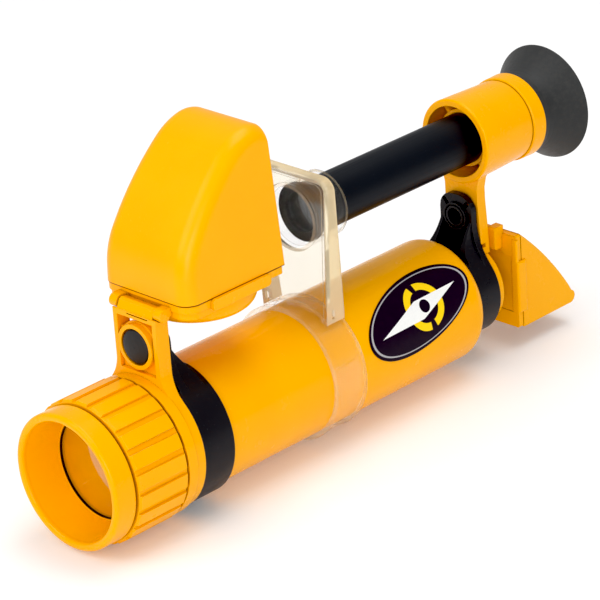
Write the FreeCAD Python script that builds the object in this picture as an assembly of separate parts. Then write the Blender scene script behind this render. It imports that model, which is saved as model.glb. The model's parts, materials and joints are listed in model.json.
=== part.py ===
import FreeCAD, Part
import math
import os

# Handheld sighting compass with a telescope barrel.
# Millimetres. +X runs along the barrel from the front bell to the eye end, +Z is up.
# Stations along X are counted from the bell's mouth, and heights from the barrel's axis.
# The finished pieces are moved so that the origin is on the barrel's axis, in the middle of
# the bare stretch between the front clamp and the clear bracket.

SEAT_X = 78.0

# Barrel
TUBE_R = 23.0
BORE_R = 20.5
TUBE_X0 = 32.0
TUBE_X1 = 182.8
SLEEVE_R = 22.0
SLEEVE_X0 = 21.0
NECK_R = 15.9
NECK_BORE_R = 13.4
NECK_X1 = 199.2
TUBE_END_FILLET = 5.0

# Objective bell and focusing ring
BELL_R = 24.3
MOUTH_R = 21.2
BELL_LIP_X = 8.8
LENS_X = 15.0
LENS_R = 19.1
RUN_GAP = 0.05
RING_X0 = 9.6
RING_X1 = 31.4
RING_R = 25.6
RING_ROOT_R = 24.7
RIBS = 22
RIB_W = 5.1

# Front bracket and hood hinge
COLLAR_R = 25.3
COLLAR_STEP_R = 24.6
COLLAR_X1 = 40.0
BRACKET_X0 = 35.8
BRACKET_X1 = 41.3
BRACKET_HALF = 10.2
BRACKET_TOP = 47.6
BUTTON_Z = 35.8
BUTTON_R = 6.0
FRONT_PIN = (38.6, 49.0)
PIN_R = 1.2
HINGE_R = 2.3

# Clamps
BAND_GAP = 0.05
FRONT_BAND = (40.2, 53.7, 24.4)
REAR_BAND = (184.4, 195.4, 17.6)
REAR_EAR_X0 = 192.8
REAR_BUTTON_Z = 28.0

# Hood, tray and compass
HOOD_X0 = 41.0
HOOD_X1 = 85.9
HOOD_Z0 = 52.6
HOOD_TOP = 102.6
HOOD_HALF = 20.8
HOOD_TOP_HALF = 18.0
HOOD_ROUND = 5.7
HOOD_WALL = 1.8
HOOD_FOOT = 5.4
HOOD_ARCS = ((27.1, 29.9), (97.1, 20.2), (23.4, 28.9), (12.0, 40.0))
TRAY_T = 2.5
SKIRT_T = 2.5
CARD_X = 65.0
BOWL_R = 20.0
BOWL_Z = 41.0
CARD_R = 14.0
CARD_Z = 46.6

# Sight tube and its holders
SIGHT_Z = 56.2
SIGHT_R = 9.4
SIGHT_BORE_R = 8.1
SIGHT_X0 = 116.5
SIGHT_X1 = 211.0
PLATE_X = 109.8
PLATE_T = 2.0
SOCKET_R = 12.0
SOCKET_X1 = 126.0
PLATE_HALF = 18.1
PLATE_FOOT_HALF = 15.0
PLATE_TOP = 73.4
RING_FRONT_X = 103.1
RING_REAR_X = 117.8
HOLDER_X0 = 193.8
HOLDER_X1 = 219.0
HOLDER_R = 15.8
HOLDER_BORE_R = 13.3
COLUMN_X0 = 196.0
COLUMN_X1 = 200.3
COLUMN_HALF = 7.6
EYE_RING_X1 = 225.9
EYECUP_X1 = 242.2
EYECUP_R = 21.4

# Rear mirror box
REAR_TRAY_X0 = 206.3
BOX_X0 = 208.7
BOX_BOTTOM = -17.3
BOX_TOP = 19.3
BOX_HALF = 16.5
REAR_PIN = (204.0, 19.8)

# Badge
BADGE_X = 150.3
BADGE_ANGLE = 59.2
BADGE_LEAN = 10.4
BADGE_HALF_LENGTH = 27.3
BADGE_HALF_WIDTH = 12.4

X_AXIS = FreeCAD.Vector(1, 0, 0)
Y_AXIS = FreeCAD.Vector(0, 1, 0)
Z_AXIS = FreeCAD.Vector(0, 0, 1)


def vec(x, y, z):
    return FreeCAD.Vector(x, y, z)


def block(x0, x1, y0, y1, z0, z1):
    return Part.makeBox(x1 - x0, y1 - y0, z1 - z0, vec(x0, y0, z0))


def rod_x(x0, x1, r, z=0.0, y=0.0):
    return Part.makeCylinder(r, x1 - x0, vec(x0, y, z), X_AXIS)


def rod_y(y0, y1, r, x, z):
    return Part.makeCylinder(r, y1 - y0, vec(x, y0, z), Y_AXIS)


def rod_z(z0, z1, r, x, y=0.0):
    return Part.makeCylinder(r, z1 - z0, vec(x, y, z0), Z_AXIS)


def tube_x(x0, x1, r_out, r_in, z=0.0):
    return rod_x(x0, x1, r_out, z).cut(rod_x(x0 - 1, x1 + 1, r_in, z))


def lathe_x(points, z=0.0):
    """Solid turned about the X direction at height z, from (station, radius) points."""
    corners = [vec(x, 0, z + r) for x, r in points]
    face = Part.Face(Part.makePolygon(corners + corners[:1]))
    return face.revolve(vec(0, 0, z), X_AXIS, 360)


def lathe_z(points, x):
    """Solid turned about the Z direction at station x, from (radius, height) points."""
    corners = [vec(x + r, 0, z) for r, z in points]
    face = Part.Face(Part.makePolygon(corners + corners[:1]))
    return face.revolve(vec(x, 0, 0), Z_AXIS, 360)


def lens_x(x0, edge, r, front, rear, z=0.0):
    """Round lens whose rim spans x0 to x0 + edge, bulging by front and rear."""
    body = rod_x(x0 - front, x0 + edge + rear, r, z)
    for bulge, tip, side in ((front, x0 - front, 1), (rear, x0 + edge + rear, -1)):
        if bulge > 0:
            ball_r = (r * r + bulge * bulge) / (2 * bulge)
            body = body.common(Part.makeSphere(ball_r, vec(tip + side * ball_r, 0, z)))
    return body


def plate_x(points, x0, x1):
    """Flat plate across X, from a closed outline of (y, z) points."""
    corners = [vec(x0, y, z) for y, z in points]
    face = Part.Face(Part.makePolygon(corners + corners[:1]))
    return face.extrude(vec(x1 - x0, 0, 0))


def plate_y(points, y0, y1):
    """Flat plate across Y, from a closed outline of (x, z) points."""
    corners = [vec(x, y0, z) for x, z in points]
    face = Part.Face(Part.makePolygon(corners + corners[:1]))
    return face.extrude(vec(0, y1 - y0, 0))


def arc_points(centre, r, start, end, steps):
    """Points on an arc in a plane, angles in degrees."""
    found = []
    for i in range(steps + 1):
        a = math.radians(start + (end - start) * i / steps)
        found.append((centre[0] + r * math.cos(a), centre[1] + r * math.sin(a)))
    return found


def fuse(shapes):
    joined = shapes[0]
    for shape in shapes[1:]:
        joined = joined.fuse(shape)
    return joined.removeSplitter()


def soften(shape, radius, chosen):
    """Fillets the edges that the test picks, and keeps the shape if there are none."""
    edges = [edge for edge in shape.Edges if chosen(edge)]
    if not edges:
        return shape
    return shape.makeFillet(radius, edges)


def on_circle(edge, x, r, z=0.0):
    """True for a full circular edge across X at station x with radius r."""
    curve = edge.Curve
    if not isinstance(curve, Part.Circle):
        return False
    near = abs(curve.Center.x - x) < 0.01 and abs(curve.Center.z - z) < 0.01
    return near and abs(curve.Radius - r) < 0.01


def runs_along(edge, direction):
    """True for a straight edge parallel to the direction."""
    if not isinstance(edge.Curve, Part.Line):
        return False
    return abs(abs(edge.Curve.Direction.dot(direction)) - 1.0) < 1e-4


def save(name, shape):
    moved = shape.copy()
    moved.translate(vec(-SEAT_X, 0, 0))
    moved.exportStep(os.path.join("parts", name + ".step"))


# ---------------------------------------------------------------- barrel

def main_tube():
    profile = [
        (SLEEVE_X0, BORE_R), (SLEEVE_X0, SLEEVE_R), (TUBE_X0, SLEEVE_R), (TUBE_X0, TUBE_R),
        (TUBE_X1, TUBE_R), (TUBE_X1, NECK_R), (NECK_X1, NECK_R), (NECK_X1, NECK_BORE_R),
        (TUBE_X1 - 4, NECK_BORE_R), (TUBE_X1 - 4, BORE_R),
    ]
    body = lathe_x(profile)
    return soften(body, TUBE_END_FILLET, lambda e: on_circle(e, TUBE_X1, TUBE_R))


def glare_stop(x):
    return lathe_x([(x, BORE_R), (x, 15.0), (x + 0.6, 14.4), (x + 1.6, 14.4), (x + 1.6, BORE_R)])


def bell():
    sleeve_r = BORE_R - RUN_GAP
    profile = [
        (0, MOUTH_R + 0.2), (0, BELL_R), (BELL_LIP_X, BELL_R), (BELL_LIP_X, sleeve_r),
        (27.4, sleeve_r), (27.4, 19.6), (29.0, 19.6), (29.0, sleeve_r), (32.0, sleeve_r),
        (32.0, 19.3), (LENS_X, 19.3), (LENS_X, 18.5), (LENS_X - 1.0, 18.5), (LENS_X - 1.0, 18.9),
        (2.0, MOUTH_R),
    ]
    body = lathe_x(profile)
    body = soften(body, 1.35, lambda e: on_circle(e, 0, BELL_R) or on_circle(e, 0, MOUTH_R + 0.2))
    return soften(body, 0.5, lambda e: on_circle(e, BELL_LIP_X, BELL_R))


def torus_x(x, ring_r, cord_r, z=0.0):
    return Part.makeTorus(ring_r, cord_r, vec(x, 0, z), X_AXIS)


def focus_ring():
    inner = SLEEVE_R + RUN_GAP
    pieces = [tube_x(RING_X0, RING_X1, RING_ROOT_R, inner)]
    for i in range(RIBS):
        rib = block(RING_X0, RING_X1, -RIB_W / 2, RIB_W / 2, RING_ROOT_R - 1.2, RING_R - 0.1)
        rib.rotate(vec(0, 0, 0), X_AXIS, i * 360.0 / RIBS)
        pieces.append(rib)
    pieces.append(tube_x(RING_X0, RING_X0 + 2.4, inner + 0.2, BORE_R + 0.3))
    body = fuse(pieces)
    envelope = lathe_x([
        (RING_X0, 0), (RING_X0, RING_R - 1.0), (RING_X0 + 0.9, RING_R + 0.3),
        (RING_X1 - 0.9, RING_R + 0.3), (RING_X1, RING_R - 1.0), (RING_X1, 0),
    ])
    return body.common(envelope)


# ---------------------------------------------------------------- front bracket

def flared_upright(x0, x1, half, top, foot_r, foot_deg, start_z, corner=0.0):
    """Upright outline that flares out to meet a ring of radius foot_r at foot_deg from the top."""
    foot_y = foot_r * math.sin(math.radians(foot_deg))
    foot_z = foot_r * math.cos(math.radians(foot_deg))
    rise = start_z - foot_z
    run = foot_y - half
    side = []
    steps = 8
    for i in range(steps + 1):
        t = i / steps
        side.append((half + run * t * t, start_z - rise * t))
    if corner > 0:
        crown = arc_points((half - corner, top - corner), corner, 90, 0, 5)
    else:
        crown = [(half, top)]
    right = crown + side
    left = [(-y, z) for y, z in reversed(right)]
    return plate_x(right + [(0, foot_z - 2)] + left, x0, x1)


def pin_lug(x, z, r, y0, y1):
    return rod_y(y0, y1, r, x, z)


def foot_slope(shift):
    """Space behind the front upright's foot, whose rear face slopes forward into the collar."""
    low_x = COLLAR_X1 + shift
    return plate_y([(BRACKET_X1 + shift, 29.0), (low_x, 20.5), (low_x, 0), (50, 0), (50, 29.0)], -30, 30)


def front_bracket():
    px, pz = FRONT_PIN
    inner = TUBE_R - 0.6
    collar = lathe_x([
        (TUBE_X0 - 0.1, inner), (TUBE_X0 - 0.1, COLLAR_R), (BRACKET_X0 + 0.2, COLLAR_R),
        (BRACKET_X0 + 0.2, COLLAR_STEP_R), (COLLAR_X1, COLLAR_STEP_R), (COLLAR_X1, inner),
    ])
    upright = flared_upright(BRACKET_X0, BRACKET_X1, BRACKET_HALF, BRACKET_TOP, COLLAR_STEP_R, 42, 30.0)
    boss = rod_x(BRACKET_X0 - 0.7, BRACKET_X1, 8.0, BUTTON_Z)
    slope = plate_y([
        (BRACKET_X0 + 0.4, BRACKET_TOP - 1), (BRACKET_X0 + 0.4, BRACKET_TOP), (px - 1.2, pz + 1.3),
        (px, pz + 1.9), (BRACKET_X1, pz + 1.2), (BRACKET_X1, BRACKET_TOP - 1),
    ], -8.4, 8.4)
    body = fuse([collar, upright, boss, slope])
    recess = block(BRACKET_X0 - 1, BRACKET_X0 + 1.4, -8.3, 8.3, 26.5, 45.6)
    recess = recess.cut(rod_x(BRACKET_X0 - 2, BRACKET_X0 + 3, 8.0, BUTTON_Z))
    window = block(BRACKET_X0 - 1, BRACKET_X1 + 1, -8.3, 8.3, 41.0, 45.6)
    window = window.cut(rod_x(BRACKET_X0 - 2, BRACKET_X1 + 2, 8.6, BUTTON_Z))
    slit = block(BRACKET_X0 - 1, BRACKET_X0 + 0.8, -6.5, 3.5, 46.7, 47.1)
    seat = rod_x(BRACKET_X0 - 1, BRACKET_X0 + 0.6, BUTTON_R + 0.5, BUTTON_Z)
    hole = rod_x(0, 60, 3.1, BUTTON_Z)
    for tool in (recess, window, slit, seat, hole, rod_y(-20, 20, PIN_R, px, pz)):
        body = body.cut(tool)
    for side in (-1, 1):
        y0, y1 = sorted((side * 8.5, side * 13.0))
        body = body.cut(rod_y(y0, y1, HINGE_R + 0.25, px, pz))
    return body.cut(foot_slope(0.0)).cut(rod_x(0, 60, TUBE_R))


def snap_button(x_face, z, r, length, out):
    """Domed cap with a split stem; out is -1 when the cap faces the front."""
    dome = lathe_x([(0, 0), (0, r), (0.9, r), (1.3, r * 0.94), (1.6, r * 0.72), (1.8, r * 0.4), (1.85, 0)])
    stem = tube_x(-length, 0.5, 3.0, 1.7)
    body = dome.fuse(stem).cut(block(-length - 1, -length + 4, -0.5, 0.5, -4, 4))
    body = body.removeSplitter()
    if out < 0:
        body.rotate(vec(0, 0, 0), Z_AXIS, 180)
    body.translate(vec(x_face, 0, z))
    return body


def clamp_hub(x_face, z, out):
    """Raised rings around the stem's hole, with four slots cut in the ear around them."""
    x0, x1 = sorted((x_face, x_face + 0.9 * out))
    rings = tube_x(x0, x1, 5.3, 4.6, z).fuse(tube_x(x0, x1, 4.0, 3.1, z))
    return rings


def clamp_slots(x0, x1, z):
    slots = []
    for side, up in ((-1, 1), (1, 1), (-1, -1), (1, -1)):
        slot = block(x0, x1, -0.8, 0.8, -1.7, 1.7)
        slot.rotate(vec(0, 0, 0), X_AXIS, -side * up * 40)
        slot.translate(vec(0, side * 4.7, z + up * 4.9))
        slots.append(slot)
    return slots


def band_clamp(band_x, radii, ear_x, half, hub_z, ear_top, out, foot_deg):
    """Moulded band with an ear that stands on it and holds the snap button's stem.

    Gussets run down from the ear's two edges to the far edge of the band.
    """
    x0, x1 = band_x
    r_out, r_in = radii
    ear_x0, ear_x1 = ear_x
    band = tube_x(x0, x1, r_out, r_in)
    ear = flared_upright(ear_x0, ear_x1, half, ear_top, r_out, foot_deg, hub_z - 1.5, half * 0.8)
    lean = flared_upright(x0, x1, half - 0.4, hub_z + 3.0, r_out, foot_deg, hub_z - 3.5, 1.0)
    near_x, far_x = (ear_x0, x1 - 2.0) if out > 0 else (ear_x1, x0 + 2.0)
    slope = plate_y([(near_x, r_in - 4), (near_x, hub_z + 3.0), (far_x, r_out - 1.5), (far_x, r_in - 4)], -30, 30)
    lean = lean.common(slope)
    pocket_x0, pocket_x1 = (ear_x1, x1 + 1) if out > 0 else (x0 - 1, ear_x0)
    pocket = block(pocket_x0, pocket_x1, -half + 1.6, half - 1.6, r_out - 0.4, ear_top + 1)
    body = fuse([band, ear, lean]).cut(pocket)
    body = body.fuse(clamp_hub(ear_x1 if out > 0 else ear_x0, hub_z, out))
    for slot in clamp_slots(ear_x0 - 1, ear_x1 + 2, hub_z):
        body = body.cut(slot)
    body = body.cut(rod_x(ear_x0 - 2, ear_x1 + 3, 3.05, hub_z))
    return body.cut(rod_x(x0 - 10, x1 + 10, r_in)).removeSplitter()


def front_clamp():
    x0, x1, r_out = FRONT_BAND
    ear_x0 = BRACKET_X1 + 0.3
    body = band_clamp(
        (x0, x1), (r_out, TUBE_R + BAND_GAP), (ear_x0, ear_x0 + 3.4), 6.8, BUTTON_Z, 41.4, 1, 36)
    relief = flared_upright(x0 - 1, ear_x0, BRACKET_HALF + 0.2, 50, COLLAR_STEP_R - 3, 44, 30.0)
    return body.cut(relief.cut(foot_slope(0.15)))


def rear_clamp():
    x0, x1, r_out = REAR_BAND
    return band_clamp(
        (x0, x1), (r_out, NECK_R + BAND_GAP), (REAR_EAR_X0, x1), 7.5, REAR_BUTTON_Z, 36.4, -1, 50)


# ---------------------------------------------------------------- hood and compass

def curved_plate_y(start, steps, y0, y1, inset=0.0):
    """Plate across Y: each step is a line to (x, z), or an arc through one point to the next.

    The inset draws the whole outline in by that much.
    """
    edges = []
    here = vec(start[0], y0, start[1])
    for step in steps:
        there = vec(step[-1][0], y0, step[-1][1])
        if len(step) == 1:
            edges.append(Part.LineSegment(here, there).toShape())
        else:
            edges.append(Part.Arc(here, vec(step[0][0], y0, step[0][1]), there).toShape())
        here = there
    wire = Part.Wire(edges)
    if inset > 0:
        wire = wire.makeOffset2D(-inset)
    return Part.Face(wire).extrude(vec(0, y1 - y0, 0))


def bowed(start, end, bow):
    """Middle point of a chord from start to end, pushed out to its left by bow."""
    dx = end[0] - start[0]
    dz = end[1] - start[1]
    length = math.hypot(dx, dz)
    return ((start[0] + end[0]) / 2 - dz / length * bow, (start[1] + end[1]) / 2 + dx / length * bow)


def smooth_run(start, heading, moves):
    """Edges of a smooth path in the XZ plane, and its end point.

    Each move is (length, 0) for a straight run, or (radius, degrees) for an arc to the right.
    """
    x, z = start
    edges = []
    for size, turn in moves:
        if turn == 0:
            points = [(size, heading)]
        else:
            points = [(2 * size * math.sin(math.radians(t / 2)), heading - t / 2) for t in (turn / 2, turn)]
        places = [
            vec(x + reach * math.cos(math.radians(angle)), 0, z + reach * math.sin(math.radians(angle)))
            for reach, angle in points
        ]
        here = vec(x, 0, z)
        if turn == 0:
            edges.append(Part.LineSegment(here, places[0]).toShape())
        else:
            edges.append(Part.Arc(here, places[0], places[1]).toShape())
        x, z = places[-1].x, places[-1].z
        heading -= turn
    return edges, places[-1]


def hood_slab(inset, over):
    """Side shape of the hood: short upright foot, long bulging mirror face, sloping crown.

    The shape runs on past the open rear, and by over through the open foot.
    """
    foot = (HOOD_X0 + inset, HOOD_Z0 - over)
    moves = [(HOOD_FOOT + over, 0)] + [(r - inset, turn) for r, turn in HOOD_ARCS] + [(10.0, 0)]
    edges, end = smooth_run(foot, 90.0, moves)
    start = vec(foot[0], 0, foot[1])
    corners = [end, vec(end.x, 0, start.z), start]
    for here, there in zip(corners, corners[1:]):
        edges.append(Part.LineSegment(here, there).toShape())
    face = Part.Face(Part.Wire(edges))
    face.translate(vec(0, -HOOD_HALF - 2, 0))
    return face.extrude(vec(0, 2 * HOOD_HALF + 4, 0))


def hood_block(inset, over=0.0):
    """Solid hood, narrower at the top."""
    lean = (HOOD_HALF - HOOD_TOP_HALF) / (HOOD_TOP - HOOD_Z0)
    low = HOOD_Z0 - over
    half = HOOD_HALF - inset + lean * over
    high = HOOD_TOP + 3.0
    top_half = HOOD_TOP_HALF - inset - lean * 3.0
    slab = hood_slab(inset, over)
    taper = plate_x([(-half, low), (half, low), (top_half, high), (-top_half, high)], 30, 110)
    return slab.common(taper)


def on_front(edge):
    """True for an edge where the hood's face or crown meets a side."""
    box = edge.BoundBox
    side = min(abs(box.YMin), abs(box.YMax)) > HOOD_TOP_HALF - 4
    return side and box.XMin < HOOD_X1 + 2 and box.ZMax - box.ZMin > 0.2


def front_hood():
    outer = soften(hood_block(0.0), HOOD_ROUND, on_front)
    core = soften(hood_block(HOOD_WALL, 6.0), HOOD_ROUND - HOOD_WALL, on_front)
    behind = plate_y([
        (HOOD_X1, HOOD_Z0 - 1), (HOOD_X1 - 1.6, HOOD_TOP + 2), (HOOD_X1 + 20, HOOD_TOP + 2),
        (HOOD_X1 + 20, HOOD_Z0 - 1),
    ], -40, 40)
    return outer.cut(core).cut(behind)


def hood_mirror():
    """Flat mirror across the inside of the hood's sloping face."""
    foot = (HOOD_X0 + 4.6, HOOD_Z0 + 8.2)
    head = (HOOD_X0 + 31.8, HOOD_TOP - 6.2)
    run = head[0] - foot[0]
    rise = head[1] - foot[1]
    plate = block(0, math.hypot(run, rise), -13.8, 13.8, -2.0, 0)
    plate.rotate(vec(0, 0, 0), Y_AXIS, -math.degrees(math.atan2(rise, run)))
    plate.translate(vec(foot[0], 0, foot[1]))
    return plate


def tray_plate(z0, z1, grow=0.0):
    x0 = HOOD_X0 + 0.3 - grow
    x1 = HOOD_X1 - 0.3 + grow
    half = HOOD_HALF - 0.2 + grow
    plate = block(x0, x1, -half, half, z0, z1)
    front = soften(plate, HOOD_ROUND - 0.2, lambda e: runs_along(e, Z_AXIS) and e.BoundBox.XMax < x0 + 0.1)
    return soften(front, 1.5, lambda e: runs_along(e, Z_AXIS) and e.BoundBox.XMin > x1 - 0.1)


def front_tray():
    px, pz = FRONT_PIN
    z1 = HOOD_Z0 - 0.2
    z0 = z1 - TRAY_T
    pieces = [tray_plate(z0, z1)]
    for side in (-1, 1):
        y0, y1 = sorted((side * 8.8, side * 12.2))
        pieces.append(pin_lug(px, pz, HINGE_R, y0, y1))
        pieces.append(block(px, HOOD_X0 + 4, y0, y1, pz - 0.8, pz + HINGE_R))
        c0, c1 = sorted((side * (HOOD_HALF - 1.2), side * (HOOD_HALF + 1.2)))
        clip = block(51.4, 78.2, c0, c1, z0 - 1.3, HOOD_Z0)
        clip = soften(clip, 1.4, lambda e: runs_along(e, Y_AXIS))
        pieces.append(clip)
    skirt = tray_plate(z0 - SKIRT_T, z0 + 0.1, -0.5).common(block(30, CARD_X, -30, 30, 40, 60))
    pieces.append(skirt.cut(rod_z(40, 60, BOWL_R + 0.1, CARD_X)))
    body = fuse(pieces)
    rim = BOWL_R + 0.1
    body = body.cut(rod_z(z0 - 3, z0 + 0.8, rim, CARD_X))
    body = body.cut(rod_z(z0 - 3, z1 + 1, 15.6, CARD_X))
    body = body.cut(block(30, HOOD_X0 + 1.5, -8.6, 8.6, z0 - 3, pz + 2.2))
    return body.cut(rod_y(-11.5, 11.5, PIN_R + RUN_GAP, px, pz))


def front_hinge_pin():
    px, pz = FRONT_PIN
    return rod_y(-11.3, 11.3, PIN_R, px, pz)


def compass_bowl():
    top = HOOD_Z0 - 0.2 - TRAY_T + 0.8
    wall = 1.2
    outside = [(0, BOWL_Z), (BOWL_R - 4.6, BOWL_Z)]
    outside += arc_points((BOWL_R - 4.6, BOWL_Z + 4.6), 4.6, -90, 0, 6)
    inside = [(BOWL_R - wall, top)]
    inside += arc_points((BOWL_R - 4.6, BOWL_Z + 4.6), 4.6 - wall, 0, -90, 6)
    inside += [(0, BOWL_Z + wall)]
    return lathe_z(outside + [(BOWL_R, top)] + inside, CARD_X)


def capsule_shell():
    low = BOWL_Z + 1.7
    return lathe_z([
        (0, low), (13.6, low), (15.9, low + 1.6), (17.2, low + 3.6), (17.2, 50.0), (15.2, 50.0),
        (15.2, low + 4.0), (14.4, low + 2.6), (12.8, low + 1.2), (0, low + 1.2),
    ], CARD_X)


def capsule_diaphragm():
    low = BOWL_Z + 1.3
    return rod_z(low, low + 0.3, 11.0, CARD_X)


def capsule_cover():
    return lathe_z([(0, 50.6), (0, 51.5), (14.0, 51.1), (15.1, 50.9), (15.1, 50.6)], CARD_X)


def capsule_gasket():
    return rod_z(50.0, 50.6, 15.5, CARD_X).cut(rod_z(49, 52, 14.4, CARD_X))


def lubber_ring():
    ring = rod_z(CARD_Z + 1.6, CARD_Z + 2.3, 15.15, CARD_X).cut(rod_z(CARD_Z, 50, 14.3, CARD_X))
    mark = block(CARD_X + 12.6, CARD_X + 14.6, -0.25, 0.25, CARD_Z + 1.6, CARD_Z + 2.3)
    return fuse([ring, mark])


def pivot_post():
    low = BOWL_Z + 1.7 + 1.2
    return lathe_z([(0, low), (1.8, low), (1.2, low + 1.0), (0.5, CARD_Z - 1.6), (0, CARD_Z - 1.1)], CARD_X)


def compass_card():
    disc = rod_z(CARD_Z, CARD_Z + 0.6, CARD_R, CARD_X)
    skirt = rod_z(CARD_Z - 0.8, CARD_Z, 4.6, CARD_X)
    body = fuse([disc, skirt])
    body = body.cut(rod_z(CARD_Z - 2, CARD_Z + 2, 1.9, CARD_X))
    for i in range(36):
        r_in = 12.0 if i % 3 == 0 else 12.9
        notch = block(r_in, 13.7, -0.14, 0.14, CARD_Z + 0.45, CARD_Z + 1)
        notch.rotate(vec(0, 0, 0), Z_AXIS, i * 10.0)
        notch.translate(vec(CARD_X, 0, 0))
        body = body.cut(notch)
    return body


def jewel_cup():
    return lathe_z([
        (0, CARD_Z + 0.9), (1.9, CARD_Z + 0.9), (1.9, CARD_Z - 1.2), (1.3, CARD_Z - 1.2),
        (0.5, CARD_Z - 0.6), (0, CARD_Z - 0.5),
    ], CARD_X)


def card_magnets():
    bars = []
    for side in (-1, 1):
        y0, y1 = sorted((side * 5.0, side * 6.6))
        bars.append(block(CARD_X - 6.5, CARD_X + 6.5, y0, y1, CARD_Z - 1.4, CARD_Z))
    return Part.makeCompound(bars)


# ---------------------------------------------------------------- clear bracket and sight tube

def clear_outline(inset):
    """Right half of the clear plate's outline, widening upwards to two rounded corners."""
    crown = arc_points((PLATE_HALF - 4.5, PLATE_TOP - 4.5), 4.5 - inset, 90, 0, 6)
    right = crown + [(PLATE_FOOT_HALF - inset, 14.0 - inset)]
    return right + [(-y, z) for y, z in reversed(right)]


def clear_bracket():
    inner = TUBE_R + BAND_GAP
    band = lathe_x([
        (RING_FRONT_X, inner), (RING_FRONT_X, 24.8), (RING_FRONT_X + 1.5, 24.8),
        (RING_FRONT_X + 1.9, 24.4), (RING_REAR_X - 1.5, 24.4), (RING_REAR_X - 1.2, 24.6),
        (RING_REAR_X, 24.6), (RING_REAR_X, inner),
    ])
    wall = 1.8
    rim = plate_x(clear_outline(0.0), PLATE_X - 0.6, RING_REAR_X)
    rim = rim.cut(plate_x(clear_outline(wall), PLATE_X - 2, RING_REAR_X + 1))
    wedge = plate_y([
        (PLATE_X - 0.6, 10), (PLATE_X - 0.6, PLATE_TOP), (PLATE_X + 4.0, PLATE_TOP),
        (RING_REAR_X, 22), (RING_REAR_X, 10),
    ], -20, 20)
    panel = plate_x(clear_outline(0.0), PLATE_X, PLATE_X + PLATE_T)
    socket = rod_x(PLATE_X + 1, SOCKET_X1, SOCKET_R, SIGHT_Z)
    body = fuse([band, rim.common(wedge), panel, socket])
    body = body.cut(rod_x(PLATE_X + PLATE_T, SIGHT_X0 + 1.1, 10.85, SIGHT_Z))
    body = body.cut(rod_x(PLATE_X + PLATE_T, SOCKET_X1 + 5, SIGHT_R + BAND_GAP, SIGHT_Z))
    for side in (-1, 1):
        y0, y1 = sorted((side * 12.0, side * 18.0))
        body = body.cut(block(PLATE_X + PLATE_T, PLATE_X + PLATE_T + 1.3, y0, y1, 21.5, 24.5))
    return body.cut(rod_x(90, 130, inner))


def sight_tube():
    return tube_x(SIGHT_X0, SIGHT_X1, SIGHT_R, SIGHT_BORE_R, SIGHT_Z)


def sight_end_cap():
    x0 = SIGHT_X0 - 1.1
    return lathe_x([
        (x0, 7.2), (x0, 10.7), (x0 + 1.9, 10.7), (x0 + 1.9, SIGHT_R + 0.02),
        (SIGHT_X0 - 0.05, SIGHT_R + 0.02), (SIGHT_X0 - 0.05, 7.2),
    ], SIGHT_Z)


def sight_reticle():
    glass = rod_x(SIGHT_X0 + 1, SIGHT_X0 + 2.4, SIGHT_BORE_R, SIGHT_Z)
    hair = block(SIGHT_X0 + 2.2, SIGHT_X0 + 3, -0.08, 0.08, SIGHT_Z - 9, SIGHT_Z + 9)
    return glass.cut(hair)


def sight_stop():
    return tube_x(160, 161.2, SIGHT_BORE_R, 5.6, SIGHT_Z)


# ---------------------------------------------------------------- rear column and eyepiece

def rear_column():
    holder = lathe_x([
        (HOLDER_X0, HOLDER_BORE_R), (HOLDER_X0, HOLDER_R), (HOLDER_X1, 15.0), (HOLDER_X1, HOLDER_BORE_R),
    ], SIGHT_Z)
    holder = soften(holder, 0.8, lambda e: on_circle(e, HOLDER_X0, HOLDER_R, SIGHT_Z))
    hub = tube_x(198.5, SIGHT_X1, 10.7, SIGHT_R + BAND_GAP, SIGHT_Z)
    pieces = [holder, hub]
    for i in range(6):
        spoke = block(199.0, SIGHT_X1, -0.7, 0.7, 10.2, HOLDER_BORE_R + 0.8)
        spoke.rotate(vec(0, 0, 0), X_AXIS, 20 + i * 60)
        spoke.translate(vec(0, 0, SIGHT_Z))
        pieces.append(spoke)
    neck = [(COLUMN_HALF + 3.2, 46.5), (COLUMN_HALF + 0.9, 42.5), (COLUMN_HALF, 38.5)]
    neck += [(COLUMN_HALF, 34.0), (COLUMN_HALF + 0.8, 22.0), (COLUMN_HALF + 1.2, 12.0)]
    outline = neck + [(-y, z) for y, z in reversed(neck)]
    upright = plate_x(outline, COLUMN_X0, COLUMN_X1)
    upright = upright.cut(rod_x(190, 210, 14.0, SIGHT_Z))
    web = plate_y([
        (COLUMN_X1 - 1, 32.0), (COLUMN_X1 - 1, 44.0), (COLUMN_X1 + 9.0, 44.0), (COLUMN_X1 + 4.0, 40.5),
    ], -1.4, 1.4).cut(rod_x(190, 220, 14.0, SIGHT_Z))
    pieces += [upright, web]
    px, pz = REAR_PIN
    for side in (-1, 1):
        y0, y1 = sorted((side * 3.2, side * 6.1))
        pieces.append(pin_lug(px, pz, 2.0, y0, y1))
        pieces.append(block(COLUMN_X1 - 0.5, px, y0, y1, pz - 1.9, pz + 2.0))
    body = fuse(pieces)
    body = body.cut(rod_x(180, 220, 3.1, REAR_BUTTON_Z))
    notch = block(COLUMN_X0 - 1, COLUMN_X0 + 2.4, -COLUMN_HALF - 3, -COLUMN_HALF + 1.2, 16.0, 17.6)
    body = body.cut(notch)
    body = body.cut(rod_x(180, 230, SIGHT_R + BAND_GAP, SIGHT_Z))
    body = body.cut(rod_y(-20, 20, PIN_R, px, pz))
    return body.cut(rod_x(180, 220, NECK_R + BAND_GAP))


def dioptre_ring():
    x0 = HOLDER_X1 + 0.4
    spigot = HOLDER_BORE_R - RUN_GAP
    return lathe_x([
        (212.4, 11.4), (212.4, spigot), (x0, spigot), (x0, 15.2), (x0 + 0.5, 15.6),
        (EYE_RING_X1 - 0.4, 15.8), (EYE_RING_X1, 15.4), (EYE_RING_X1, 13.0), (230.4, 13.0),
        (230.4, 12.2), (220.0, 12.2), (220.0, 11.4),
    ], SIGHT_Z)


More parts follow.
